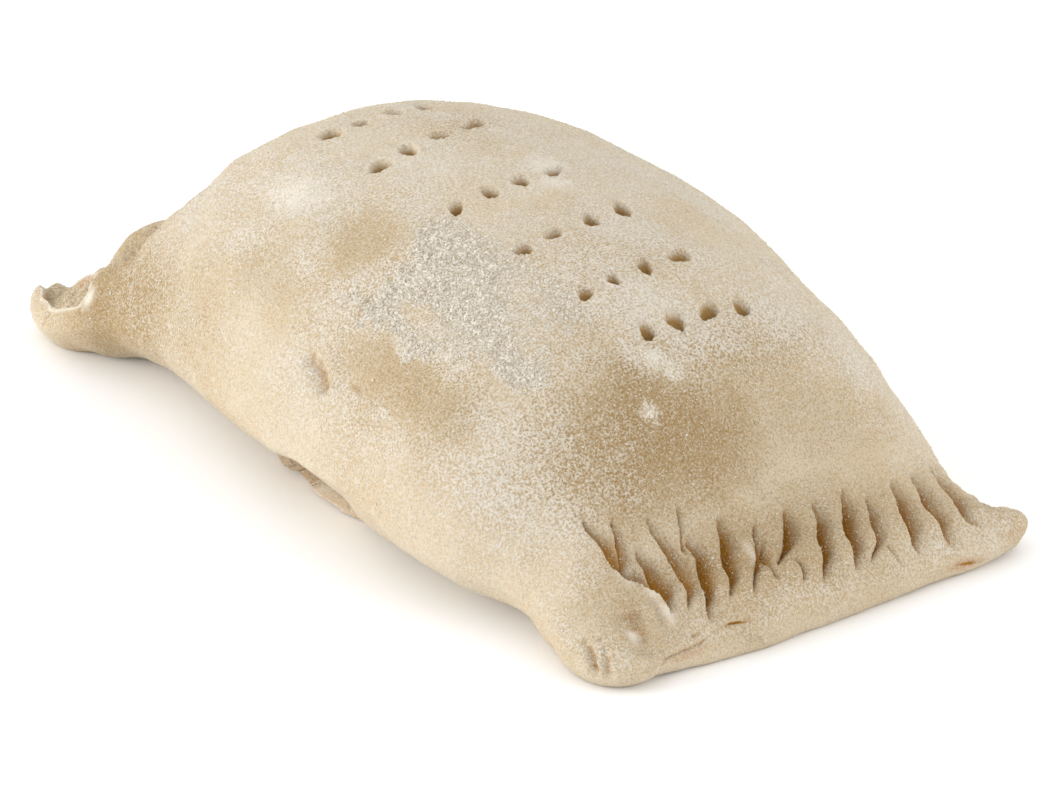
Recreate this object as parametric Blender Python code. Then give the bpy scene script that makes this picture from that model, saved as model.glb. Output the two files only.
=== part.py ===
"""A raw puff pastry turnover: a sheet of dough rolled round its filling and crimped at both ends.

One uncut piece of food, so one solid. The rolled sheet is a tube of rings along X that closes
to a thick flat lip at either end. Pleats, the folded corners, the fork pricks, a dent and the
tongue of the seam underneath are then worked into it, as a cook's fingers would.

+X runs to the crimped end, +Y to the right long side as seen from that end, and Z is up. The
origin is on the surface that the parcel lies on, under the middle of its box.
"""

import bmesh
import bpy
import numpy as np

MM = 0.001

# The outline of the parcel, in millimetres: (x, value) at the places where it changes.
BACK_HEIGHT = (
    (-90, 7), (-85, 10.5), (-78, 14), (-70, 25), (-60, 39.5), (-47, 46.2), (-30, 49.3),
    (-8, 50.8), (14, 50.2), (34, 48.5), (50, 41.8), (62, 32.2), (72, 20.4), (80, 13.2),
    (87, 10.4), (92, 7.2),
)
LEFT_HALF_WIDTH = (
    (-90, 40.5), (-85, 46), (-78, 48.5), (-70, 48.5), (-60, 45), (-47, 45.2), (-30, 47.8),
    (-8, 51), (14, 53.4), (34, 54), (50, 52), (62, 47), (72, 46), (80, 47.5), (87, 46), (92, 41.6),
)
RIGHT_HALF_WIDTH = (
    (-90, 38), (-85, 44), (-78, 46.5), (-60, 48), (-47, 51.8), (-30, 55), (-8, 54),
    (14, 52.4), (34, 47.6), (50, 45.6), (62, 44), (72, 43), (80, 43.8), (87, 46.4), (92, 38.5),
)
GIRTH_START = 2.6  # height of the widest line where the lip is thinnest
GIRTH_SHARE = 0.2  # and how much of the back's height is added to it
TUCK_SHARE = 0.0034  # the underside draws in by this share for each millimetre of height
FLAT_SHARE = 0.16  # how much of the lower half's fall is pressed flat by the surface
LIP_ROUND = 3.0  # radius of the lips' edge
LIP_SLIT = 0.3  # the last ring keeps this share of its height, and its face is filled

# Pleats of the crimped end: where each crease starts, where it runs out, and its depth.
PLEATS = (
    ((69.5, -29.5), (77.0, -32.0), 2.4),
    ((73.0, -28.0), (87.0, -30.5), 3.2),
    ((69.5, -23.5), (88.5, -27.0), 3.4),
    ((70.0, -16.5), (90.0, -24.0), 3.6),
    ((73.5, -16.0), (81.0, -18.5), 1.6),
    ((73.0, -9.5), (88.0, -18.0), 3.8),
    ((76.0, -3.5), (87.0, -9.5), 3.0),
    ((75.5, 4.0), (90.0, -4.5), 3.6),
    ((76.0, 10.0), (91.0, 0.0), 3.8),
    ((75.0, 16.5), (91.0, 7.5), 3.6),
    ((76.5, 20.0), (90.5, 11.0), 3.0),
    ((75.5, 26.5), (91.5, 20.5), 3.6),
    ((74.5, 31.5), (91.5, 28.0), 3.4),
    ((73.0, 37.0), (90.0, 35.5), 3.0),
)
PLEAT_WALL = 0.8  # width of a crease's steep side
PLEAT_NARROW = 1.8  # how far its soft side runs where it starts
PLEAT_WIDE = 4.6  # and further down, where the next pleat's back begins
PLEAT_LAP = 1.0  # how far a pleat's back laps over the crease beside it

# The other end is crimped the same way, evenly, as far as its folded corner.
END_PLEATS = 11
END_PLEAT_PITCH = 5.6
END_PLEATS_FIRST = -22.0
END_PLEAT_FROM = -68.5
END_PLEAT_TO = -88.5
END_PLEAT_SLANT = 5.0
END_PLEAT_DEPTH = 3.2

# The fork's pricks: rows of four, each row at its own place along the back.
PRICK_ROWS = ((-41.5, 0.7), (-23.3, -1.0), (1.7, -2.0), (20.2, -1.5), (37.7, -1.5), (49.0, 2.5))
TINES = 4
TINE_PITCH = 7.2
PRICK_RADIUS = 1.7
PRICK_DEPTH = 3.4

# Lumps of gathered dough: middle and half sizes.
KNOB = ((82.0, -38.6, 4.2), (10.4, 8.8, 6.0))
KNOB_HEEL = ((72.5, -37.0, 6.0), (9.0, 8.4, 7.0))
TAIL = ((-80.0, -40.5, 5.6), (10.2, 7.6, 6.2))
TAIL_BACK = ((-71.0, -37.5, 8.0), (9.5, 7.0, 7.5))
TAIL_RIDGE = ((-67.0, -29.0, 14.0), (10.0, 10.0, 10.0))
HIDDEN_KNOB = ((-79.0, 38.0, 5.0), (11.0, 9.0, 6.6))
SEAM_TONGUE = ((0.0, -36.0, 1.2), (21.0, 6.6, 2.2))

TIP_AT = (87.0, 43.0, 6.0)  # the right corner of the lip is pulled out to a point
TIP_PULL = (1.0, 0.8, 1.6)
TIP_REACH = 11.0

# The left corner's dough is folded over the first pleats: the fold's edge, and how proud it is.
FOLD_EDGE = ((63.0, -33.5), (70.0, -34.3), (77.0, -32.2), (84.0, -30.8), (89.0, -31.5))
FOLD_HEIGHT = 2.4
FOLD_SPREAD = 11.0

DENT_AT = (8.5, -47.5, 29.8)
DENT_HALF = (1.3, 3.0, 3.2)
DENT_DEPTH = 1.3

MIDDLE = (1.2, 0.5, 0.0)  # where the middle of the finished box falls in the measures above

# The skin is worked fine and then thinned to this many triangles.
RINGS = 330
RINGS_TO_ENDS = 0.55  # how much closer the rings stand towards the ends
UPPER_POINTS = 280
UNDER_POINTS = 90
TRIANGLES = 9000
BASE_SNAP = 0.05  # the base's points are laid flat again where thinning has moved them this little

DOUGH_COLOUR = (0.66, 0.53, 0.35, 1.0)
DOUGH_ROUGHNESS = 0.75


def clear_scene():
    for obj in list(bpy.data.objects):
        bpy.data.objects.remove(obj, do_unlink=True)


def smooth_line(points, at):
    """A smooth line through the points that never overshoots them, read at the places given."""
    xs, ys = np.array(points, float).T
    gaps = np.diff(xs)
    slopes = np.diff(ys) / gaps
    tangents = np.zeros_like(ys)
    product = slopes[:-1] * slopes[1:]
    mean = 2 * product / (slopes[:-1] + slopes[1:] + 1e-12)
    tangents[1:-1] = np.where(product > 0, mean, 0)
    tangents[0] = slopes[0]
    tangents[-1] = slopes[-1]
    i = np.clip(np.searchsorted(xs, at) - 1, 0, len(xs) - 2)
    t = (at - xs[i]) / gaps[i]
    start = (2 * t**3 - 3 * t**2 + 1) * ys[i] + (t**3 - 2 * t**2 + t) * gaps[i] * tangents[i]
    end = (3 * t**2 - 2 * t**3) * ys[i + 1] + (t**3 - t**2) * gaps[i] * tangents[i + 1]
    return start + end


def ramp(value, low, high):
    """0 below low, 1 above high, and an easy curve between."""
    t = np.clip((value - low) / (high - low), 0, 1)
    return t * t * (3 - 2 * t)


def rolled_sheet():
    """The sheet wrapped round the filling, as (ring, place on the ring) points in millimetres."""
    first, last = BACK_HEIGHT[0][0], BACK_HEIGHT[-1][0]
    place = np.linspace(-1, 1, RINGS)[:, None]
    place = (1 - RINGS_TO_ENDS) * place + RINGS_TO_ENDS * np.sin(place * np.pi / 2)
    x = (first + last) / 2 + place * (last - first) / 2
    upper = np.linspace(0, np.pi, UPPER_POINTS, endpoint=False)
    under = np.linspace(np.pi, 2 * np.pi, UNDER_POINTS, endpoint=False)
    turn = np.concatenate([upper, under])[None, :]
    height = smooth_line(BACK_HEIGHT, x)
    girth = GIRTH_START + GIRTH_SHARE * height
    from_end = np.clip(np.minimum(x - first, last - x) / LIP_ROUND, 0, 1)
    rounding = LIP_SLIT + (1 - LIP_SLIT) * np.sqrt(1 - (1 - from_end) ** 2)
    across, up = np.cos(turn), np.sin(turn)
    half = np.where(across < 0, smooth_line(LEFT_HALF_WIDTH, x), smooth_line(RIGHT_HALF_WIDTH, x))
    half = half - (1 - rounding) * LIP_ROUND
    upper_z = girth + (height - girth) * np.abs(up)
    fall = np.abs(up) ** (2 / 3)
    lower_y = np.sign(across) * np.abs(across) ** (2 / 3) * (1 - TUCK_SHARE * height * fall)
    lower_z = girth * np.clip((1 - fall - FLAT_SHARE) / (1 - FLAT_SHARE), 0, 1)
    y = half * np.where(up >= 0, across, lower_y)
    z = np.where(up >= 0, upper_z, lower_z)
    z = girth + (z - girth) * rounding
    return np.stack(np.broadcast_arrays(x, y, z), axis=-1)


def outward(sheet):
    """Unit normals of the sheet."""
    along = np.gradient(sheet, axis=0)
    around = np.roll(sheet, -1, axis=1) - np.roll(sheet, 1, axis=1)
    normal = np.cross(along, around)
    length = np.linalg.norm(normal, axis=-1, keepdims=True)
    return -normal / np.maximum(length, 1e-9)


def swell(sheet, lump, blend=0.12):
    """Pushes the sheet out to cover an oval lump of dough whose middle is inside it."""
    middle, half_sizes = np.array(lump[0]), np.array(lump[1])
    arm = (sheet - middle) / half_sizes
    reach = np.maximum(np.linalg.norm(arm, axis=-1, keepdims=True), 1e-6)
    wider = 0.5 * (reach + 1 + np.sqrt((reach - 1) ** 2 + blend**2))
    fade = 1 - ramp(reach, 1.0, 1.5)
    return sheet + (arm / reach) * (wider - reach) * half_sizes * fade


def pull(sheet, at, shift, reach):
    """Draws the dough round a point along, the way fingers draw out a corner."""
    distance = np.linalg.norm(sheet - np.array(at), axis=-1, keepdims=True)
    return sheet + np.array(shift) * np.clip(1 - distance / reach, 0, 1) ** 1.6


def press(sheet, at, half_sizes, depth):
    """Presses a soft oval hollow along the normals."""
    arm = (sheet - np.array(at)) / np.array(half_sizes)
    reach = np.linalg.norm(arm, axis=-1, keepdims=True)
    return sheet - outward(sheet) * depth * (1 - ramp(reach, 0.1, 1.6))


def crease(sheet, start, end, depth):
    """How far one pleat's crease sinks the skin, and how far the pleat on its left laps over it.

    A crease is steep on its left side and soft on its right, where the next pleat's back rises.
    """
    x, y = sheet[..., 0], sheet[..., 1]
    t = (x - start[0]) / (end[0] - start[0])
    path = start[1] + (end[1] - start[1]) * ramp(t, -0.15, 1.15)
    aside = y - path
    along = ramp(t, -0.06, 0.3) * (1 - ramp(t, 0.6, 1.05))
    wall = ramp(aside, -PLEAT_WALL, 0)
    reach = PLEAT_NARROW + (PLEAT_WIDE - PLEAT_NARROW) * ramp(t, 0, 0.5)
    soft = 1 - ramp(aside / reach, 0.05, 1)
    lap = 1 - ramp(np.abs(aside + PLEAT_WALL), 0, 1.4)
    return depth * along * wall * soft, PLEAT_LAP * along * lap


def all_pleats():
    """Start, end and depth of every crease, those of the far end evenly laid out."""
    pleats = list(PLEATS)
    for n in range(END_PLEATS):
        y = END_PLEATS_FIRST + n * END_PLEAT_PITCH
        uneven = 1 + 0.14 * np.sin(2.4 * n)
        start = (END_PLEAT_FROM - uneven, y + END_PLEAT_SLANT / 2)
        end = (END_PLEAT_TO + uneven, y - END_PLEAT_SLANT / 2)
        pleats.append((start, end, END_PLEAT_DEPTH * uneven))
    return pleats


def crimp_ends(sheet):
    sunk = np.zeros(sheet.shape[:2])
    lapped = np.zeros(sheet.shape[:2])
    for start, end, depth in all_pleats():
        hollow, lap = crease(sheet, start, end, depth)
        sunk = np.maximum(sunk, hollow)
        lapped = np.maximum(lapped, lap)
    upper_side = sheet[..., 2] > 3
    sheet = sheet - outward(sheet) * (sunk * upper_side)[..., None]
    sheet[..., 1] += lapped * upper_side
    return sheet


def fold_corner(sheet):
    """The left side's dough, folded over the first pleats and standing proud of them."""
    x, y, z = np.moveaxis(sheet, -1, 0)
    first, last = FOLD_EDGE[0][0], FOLD_EDGE[-1][0]
    edge = smooth_line(FOLD_EDGE, np.clip(x, first, last))
    aside = edge - y
    along = ramp(x, first - 3, first + 9) * (1 - ramp(x, last - 5, last + 1))
    proud = ramp(aside, -0.5, 0.5) * (1 - ramp(aside, 3, FOLD_SPREAD))
    return sheet + outward(sheet) * (FOLD_HEIGHT * along * proud * (z > 2))[..., None]


def prick(sheet, x, y):
    """One tine's hole in the back, with the dough it pushed aside."""
    away = np.hypot((sheet[..., 0] - x) / 1.1, sheet[..., 1] - y) / PRICK_RADIUS
    hole = (1 - ramp(away, 0.15, 1.1)) * PRICK_DEPTH
    rim = 0.35 * (ramp(away, 0.8, 1.2) - ramp(away, 1.2, 1.9))
    top = sheet[..., 2] > 20
    sheet[..., 2] += np.where(top, rim - hole, 0)
    return sheet


def prick_back(sheet):
    for row_x, row_y in PRICK_ROWS:
        for tine in range(TINES):
            sheet = prick(sheet, row_x, row_y + (tine - (TINES - 1) / 2) * TINE_PITCH)
    return sheet


def dough_material():
    material = bpy.data.materials.new("raw_dough")
    material.use_nodes = True
    shader = material.node_tree.nodes["Principled BSDF"]
    shader.inputs["Base Color"].default_value = DOUGH_COLOUR
    shader.inputs["Roughness"].default_value = DOUGH_ROUGHNESS
    shader.inputs["Metallic"].default_value = 0.0
    return material


def closed_mesh(sheet, name):
    """Joins the rings into one closed skin."""
    skin = bmesh.new()
    rings = [[skin.verts.new(point * MM) for point in ring] for ring in sheet]
    for ring, following in zip(rings[:-1], rings[1:]):
        for n in range(len(ring)):
            m = (n + 1) % len(ring)
            skin.faces.new((ring[n], ring[m], following[m], following[n]))
    skin.faces.new(rings[0])
    skin.faces.new(rings[-1])
    bmesh.ops.triangulate(skin, faces=[face for face in skin.faces if len(face.verts) > 4])
    bmesh.ops.recalc_face_normals(skin, faces=skin.faces)
    mesh = bpy.data.meshes.new(name)
    skin.to_mesh(mesh)
    skin.free()
    return mesh


def make_parcel():
    sheet = rolled_sheet()
    for lump in (KNOB, KNOB_HEEL, TAIL, TAIL_BACK, TAIL_RIDGE, HIDDEN_KNOB, SEAM_TONGUE):
        sheet = swell(sheet, lump)
    sheet = pull(sheet, TIP_AT, TIP_PULL, TIP_REACH)
    sheet = crimp_ends(sheet)
    sheet = fold_corner(sheet)
    sheet = press(sheet, DENT_AT, DENT_HALF, DENT_DEPTH)
    sheet = prick_back(sheet)
    sheet[..., 2] = np.maximum(sheet[..., 2], 0)
    mesh = closed_mesh(sheet - np.array(MIDDLE), "turnover")
    parcel = bpy.data.objects.new("turnover", mesh)
    bpy.context.scene.collection.objects.link(parcel)
    mesh.materials.append(dough_material())
    thin = parcel.modifiers.new("facets", "DECIMATE")
    thin.ratio = TRIANGLES / (2 * len(mesh.polygons))
    bpy.context.view_layer.objects.active = parcel
    bpy.ops.object.modifier_apply(modifier=thin.name)
    for point in mesh.vertices:
        if point.co.z < BASE_SNAP * MM:
            point.co.z = 0
    mesh.shade_smooth()
    return parcel


clear_scene()
make_parcel()
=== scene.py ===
# A raw puff pastry turnover. One sheet of dough is rolled round the filling, crimped flat at
# both ends, pricked along its back with a fork and dusted with flour.
# Sizes are in millimetres until points go into a mesh. +X runs to the crimped end in front,
# -Y is the long side on the left, and Z is up.
import math

import bpy
import numpy as np
from mathutils import Matrix, Vector, noise


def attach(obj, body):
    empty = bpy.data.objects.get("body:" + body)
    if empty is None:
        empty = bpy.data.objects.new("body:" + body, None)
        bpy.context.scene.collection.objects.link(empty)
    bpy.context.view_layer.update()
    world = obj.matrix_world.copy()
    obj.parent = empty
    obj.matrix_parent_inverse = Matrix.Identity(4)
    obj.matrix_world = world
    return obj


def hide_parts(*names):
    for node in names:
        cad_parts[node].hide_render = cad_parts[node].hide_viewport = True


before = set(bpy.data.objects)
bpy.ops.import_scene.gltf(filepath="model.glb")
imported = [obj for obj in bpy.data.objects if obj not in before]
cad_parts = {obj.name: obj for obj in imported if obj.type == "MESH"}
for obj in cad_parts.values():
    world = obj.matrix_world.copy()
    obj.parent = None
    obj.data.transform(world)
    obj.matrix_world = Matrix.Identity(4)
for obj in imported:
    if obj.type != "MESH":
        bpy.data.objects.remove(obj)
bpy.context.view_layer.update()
bpy.ops.object.select_all(action="DESELECT")

mm = 0.001
middle = np.array((1.2, 0.5, 0.0))  # what the measures below take off to stand on the frame's origin


def ramp(value, low, high):
    # 0 below low, 1 above high, an easy curve between
    t = np.clip((value - low) / (high - low), 0, 1)
    return t * t * (3 - 2 * t)


def smoothLine(points, at):
    # a smooth line through the points that never overshoots them
    xs, ys = np.array(points, float).T
    gapShade = np.diff(xs)
    slopes = np.diff(ys) / gapShade
    product = slopes[:-1] * slopes[1:]
    tangents = np.concatenate([slopes[:1], np.zeros(len(xs) - 2), slopes[-1:]])
    tangents[1:-1] = np.where(product > 0, 2 * product / (slopes[:-1] + slopes[1:] + 1e-12), 0)
    at = np.clip(at, xs[0], xs[-1])
    i = np.clip(np.searchsorted(xs, at) - 1, 0, len(xs) - 2)
    t = (at - xs[i]) / gapShade[i]
    start = (2 * t**3 - 3 * t**2 + 1) * ys[i] + (t**3 - 2 * t**2 + t) * gapShade[i] * tangents[i]
    end = (3 * t**2 - 2 * t**3) * ys[i + 1] + (t**3 - t**2) * gapShade[i] * tangents[i + 1]
    return start + end


def unevenness(points, size, octaves=3, offset=0.0):
    # fractal noise of about -1 to 1, its lumps about this many millimetres across
    shifted = points / size + offset
    return np.array([noise.fractal(Vector(p), 1.0, 2.0, octaves) for p in shifted])


def readPoints(thing):
    found = np.empty(len(thing.data.vertices) * 3)
    thing.data.vertices.foreach_get("co", found)
    return found.reshape(-1, 3) / mm + middle


def writePoints(thing, points):
    thing.data.vertices.foreach_set("co", ((points - middle) * mm).ravel())
    thing.data.update()


def readNormals(thing):
    found = np.empty(len(thing.data.vertices) * 3)
    thing.data.vertex_normals.foreach_get("vector", found)
    return found.reshape(-1, 3)


def useMaterial(thing, material):
    thing.data.materials.clear()
    thing.data.materials.append(material)


def editMode(thing):
    bpy.ops.object.select_all(action="DESELECT")
    thing.select_set(True)
    bpy.context.view_layer.objects.active = thing
    bpy.ops.object.mode_set(mode="EDIT")


def applyModifier(thing, modifier):
    bpy.ops.object.select_all(action="DESELECT")
    thing.select_set(True)
    bpy.context.view_layer.objects.active = thing
    bpy.ops.object.modifier_apply(modifier=modifier.name)


# the photograph's camera, solved from the parcel's outline and the rows of pricks
viewFrom = dict(
    azimuth=53.571,  # degrees round from -Y
    elevation=26.151,
    distance=1400.0,
    lookAt=(0.8, -0.5, 20.0),
    lookAtPixel=(517.30, 338.47),  # where that lies in the picture
    focalPixels=7858.3,
    frameSize=(1054, 788),
    sensor=36.0,
)


def placeCamera():
    turn = math.radians(viewFrom["azimuth"])
    rise = math.radians(viewFrom["elevation"])
    back = Vector((math.sin(turn) * math.cos(rise), -math.cos(turn) * math.cos(rise), math.sin(rise)))
    right = Vector((math.cos(turn), math.sin(turn), 0))
    up = back.cross(right)
    width, height = viewFrom["frameSize"]
    perPixel = viewFrom["distance"] / viewFrom["focalPixels"]
    aside = (width / 2 - viewFrom["lookAtPixel"][0]) * perPixel
    above = (viewFrom["lookAtPixel"][1] - height / 2) * perPixel
    place = Vector(viewFrom["lookAt"]) + back * viewFrom["distance"] + right * aside + up * above
    bpy.ops.object.camera_add()
    camera = bpy.context.object
    camera.name = "camera"
    camera.location = place * mm
    camera.rotation_euler = Matrix((right, up, back)).transposed().to_euler()
    camera.data.lens = viewFrom["focalPixels"] * viewFrom["sensor"] / width
    camera.data.sensor_width = viewFrom["sensor"]
    camera.data.clip_start = 0.05
    camera.data.clip_end = 20
    bpy.context.scene.camera = camera


# the parcel's outline: (x, value) where it changes
parcel = dict(
    backHeight=(
        (-90, 7), (-85, 10.5), (-78, 14), (-70, 25), (-60, 39.5), (-47, 46.2), (-30, 49.3),
        (-8, 50.8), (14, 50.2), (34, 48.5), (50, 41.8), (62, 32.2), (72, 20.4), (80, 13.2),
        (87, 10.4), (92, 7.2),
    ),
    leftHalfWidth=(
        (-90, 40.5), (-85, 46), (-78, 48.5), (-70, 48.5), (-60, 45), (-47, 45.2), (-30, 47.8),
        (-8, 51), (14, 53.4), (34, 54), (50, 52), (62, 47), (72, 46), (80, 47.5), (87, 46), (92, 41.6),
    ),
    rightHalfWidth=(
        (-90, 38), (-85, 44), (-78, 46.5), (-60, 48), (-47, 51.8), (-30, 55), (-8, 54),
        (14, 52.4), (34, 47.6), (50, 45.6), (62, 44), (72, 43), (80, 43.8), (87, 46.4), (92, 38.5),
    ),
    girthStart=2.6,  # height of the widest line where the lip is thinnest
    girthShare=0.2,  # and the share of the back's height added to it
    tuckShare=0.0034,  # the underside draws in by this for each millimetre of height
    flatShare=0.16,  # how much of the lower half lies flat
    lipRound=3.4,  # how far the lips' edge rounds over
    lipBlunt=2.5,  # 2 is a round edge, more is blunter
    lipSlit=0.05,  # what is left open at the very edge, and then closed
)

# the flat sheet before it is rolled
sheet = dict(
    cell=1.25,  # squares of the plain dough
    upperHalf=80.0,  # from the top of the back to the widest line
    underHalf=22.0,  # from there to the seam underneath
    lipRun=6.6,  # how much of the sheet goes round a lip's edge
)


def sheetEnds():
    first = parcel["backHeight"][0][0] + parcel["lipRound"] - sheet["lipRun"]
    last = parcel["backHeight"][-1][0] - parcel["lipRound"] + sheet["lipRun"]
    return first, last


def rolled(flat):
    # where a point of the flat sheet lies once it is rolled round the filling
    along, around = flat[:, 0], flat[:, 1]
    flatFirst, flatLast = sheetEnds()
    first, last = parcel["backHeight"][0][0], parcel["backHeight"][-1][0]
    lip = parcel["lipRound"]
    toFirst = np.clip((along - flatFirst) / sheet["lipRun"], 0, 1) * np.pi / 2
    toLast = np.clip((flatLast - along) / sheet["lipRun"], 0, 1) * np.pi / 2
    blunt = 2 / parcel["lipBlunt"]
    x = np.clip(along, first + lip, last - lip)
    x = x - lip * np.abs(np.cos(toFirst)) ** blunt * (toFirst < np.pi / 2)
    x = x + lip * np.abs(np.cos(toLast)) ** blunt * (toLast < np.pi / 2)
    opened = np.sin(np.minimum(toFirst, toLast)) ** blunt
    rounding = parcel["lipSlit"] + (1 - parcel["lipSlit"]) * opened
    upper = np.abs(around) <= sheet["upperHalf"]
    quarter = np.where(
        upper,
        around / sheet["upperHalf"],
        np.sign(around) * (1 + (np.abs(around) - sheet["upperHalf"]) / sheet["underHalf"]),
    )
    turn = np.pi / 2 * (1 - quarter)
    across, up = np.cos(turn), np.sin(turn)
    left, right = smoothLine(parcel["leftHalfWidth"], x), smoothLine(parcel["rightHalfWidth"], x)
    half = np.where(across < 0, left, right) - (1 - rounding) * lip
    height = smoothLine(parcel["backHeight"], x)
    girth = parcel["girthStart"] + parcel["girthShare"] * height
    across = np.where(upper, gathered(x, across * half) / half, across)
    up = np.where(upper, np.sqrt(np.clip(1 - across**2, 0, 1)), up)
    fall = np.abs(up) ** (2 / 3)
    lowerY = np.sign(across) * np.abs(across) ** (2 / 3) * (1 - parcel["tuckShare"] * height * fall)
    flatPart = parcel["flatShare"]
    lowerZ = girth * np.clip((1 - fall - flatPart) / (1 - flatPart), 0, 1)
    y = half * np.where(upper, across, lowerY)
    z = np.where(upper, girth + (height - girth) * up, lowerZ)
    z = girth + (z - girth) * rounding
    return np.stack([x, y, z], axis=1)


def crease(depth, width, *line, back=0.9, spread=1.5):
    # one crease: its depth and width, points (x, y) down its line, and how far its pleat stands up
    # and spreads
    return dict(line=line, depth=depth, width=width, back=back, spread=spread)


# the front end's creases, from the left; the first is where the side's dough laps over them
frontCreases = (
    crease(2.6, 3.2, (65.7, -33.4), (68.3, -34.1), (73.8, -34.2), (76.3, -33.7), (77.8, -32.9),
           (79.2, -31.5), (81.1, -29.9), (83.6, -29.6), (86.2, -30.2), back=1.9, spread=4.0),
    crease(3.0, 2.6, (68.7, -29.2), (70.8, -30.5), (72.3, -31.4), (75.6, -32.3), (77.8, -32.0)),
    crease(3.2, 3.6, (73.8, -28.0), (76.0, -29.2), (78.9, -29.1), (81.4, -28.8), (84.3, -29.2),
           (85.8, -29.6)),
    crease(2.8, 3.4, (70.5, -23.4), (73.8, -24.2), (76.0, -24.3), (79.2, -24.1), (83.2, -24.7),
           (87.3, -26.6)),
    crease(1.4, 1.8, (70.8, -16.7), (74.1, -18.7), (77.0, -20.4), (78.5, -20.2), back=0.4),
    crease(4.0, 4.2, (74.5, -17.2), (77.4, -19.2), (81.8, -21.0), (86.5, -23.1), (89.8, -23.7)),
    crease(3.8, 4.6, (73.8, -10.0), (76.0, -12.2), (78.9, -14.5), (82.5, -16.1), (85.4, -17.1),
           (88.0, -18.3)),
    crease(2.2, 2.2, (76.3, -3.8), (78.9, -6.5), (82.5, -9.0), (86.2, -12.2), (89.4, -14.6), back=0.6),
    crease(2.8, 1.9, (80.3, -5.2), (82.5, -7.3), (85.8, -8.5), (88.0, -7.9), back=0.5),
    crease(3.8, 4.0, (76.3, 2.7), (78.1, 0.4), (81.4, -2.6), (84.0, -5.2), (85.6, -6.2)),
    crease(1.7, 1.4, (84.7, -4.7), (85.8, -2.6), (87.6, -2.9), (90.2, -4.3), back=0.3),
    crease(4.0, 4.2, (76.3, 8.9), (78.9, 6.6), (82.2, 4.0), (85.8, 2.1), (88.4, 0.8), (90.5, 0.0),
           (91.3, -1.1)),
    crease(3.5, 4.4, (75.6, 15.9), (78.5, 12.7), (82.2, 10.0), (85.1, 8.3), (87.3, 8.0), (89.4, 7.4),
           (91.6, 6.4)),
    crease(3.1, 3.2, (77.8, 19.2), (80.0, 17.3), (84.0, 15.0), (87.3, 13.3), (89.4, 11.3), (90.5, 10.6)),
    crease(1.5, 1.2, (88.0, 15.5), (90.2, 15.8), (91.6, 16.6), back=0.2),
    crease(3.4, 4.4, (76.0, 26.3), (78.1, 24.3), (81.8, 22.5), (85.4, 21.0), (88.7, 20.4), (91.6, 21.0)),
    crease(3.2, 4.2, (74.9, 31.7), (77.8, 29.2), (80.3, 28.4), (84.3, 27.4), (87.3, 27.6), (91.6, 28.5)),
    crease(2.7, 4.0, (73.4, 36.9), (76.0, 35.0), (78.5, 34.4), (81.4, 34.2), (86.5, 33.3),
           (89.1, 35.4), (90.2, 35.7)),
)

crimp = dict(
    wall=0.7,  # width of a crease's steep side
    wider=1.15,  # every crease's width is multiplied by this
    footNarrow=0.62,  # how much of that width it loses towards its foot
    deeper=1.15,  # and every depth by this
    fullLap=3.5,  # a crease this deep has the whole lap and undercut
    lap=1.4,  # how far the pleat leans over the crease
    undercut=1.3,  # how far the hollow runs in under the pleat
    wave=0.15,  # how uneven the line is
    ragged=0.05,
    gather=0.55,  # how much closer the mesh stands along the line
    gatherWidth=1.4,
    endPleats=11,  # the far end's crimps, laid at about the same pitch
    endPitch=5.6,
    endFirst=-22.0,  # y of the first one
    endFrom=-68.5,  # x of their tops and feet
    endTo=-88.5,
    endBend=-79.0,  # x where they bend
    endSlant=5.0,
    endDepth=3.4,
    endWidth=4.4,
)


def layCreases():
    creases = list(frontCreases)
    for n in range(crimp["endPleats"]):
        y = crimp["endFirst"] + n * crimp["endPitch"]
        uneven = 1 + 0.14 * math.sin(2.4 * n)
        lean = crimp["endSlant"] / 2 * (1 + 0.3 * math.sin(1.7 * n))
        foot = (crimp["endTo"] + uneven, y - lean)
        top = (crimp["endFrom"] - uneven, y + lean)
        bend = (crimp["endBend"], y - 0.3 * lean)
        creases.append(crease(crimp["endDepth"] * uneven, crimp["endWidth"], foot, bend, top))
    return creases


allCreases = layCreases()


def creaseLine(x, line):
    # how far along the crease a point is, 0 to 1 from the foot of the dome outwards, and its line there
    first, last = line[0][0], line[-1][0]
    t = (x - first) / (last - first)
    if first < 0:
        t = 1 - t
    wavy = crimp["wave"] * np.sin(x * 0.9 + 7 * last) + crimp["ragged"] * np.sin(x * 3.3 + first)
    return t, smoothLine(line, x) + wavy


def gathered(x, y):
    # draws the sheet's squares together along each crease, so that its edge can be sharp
    moved = np.zeros_like(y)
    for one in allCreases:
        t, path = creaseLine(x, one["line"])
        along = ramp(t, -0.1, 0.1) * (1 - ramp(t, 0.9, 1.1))
        aside = y - path
        moved -= crimp["gather"] * aside * np.exp(-((aside / crimp["gatherWidth"]) ** 2)) * along
    return y + moved


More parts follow.
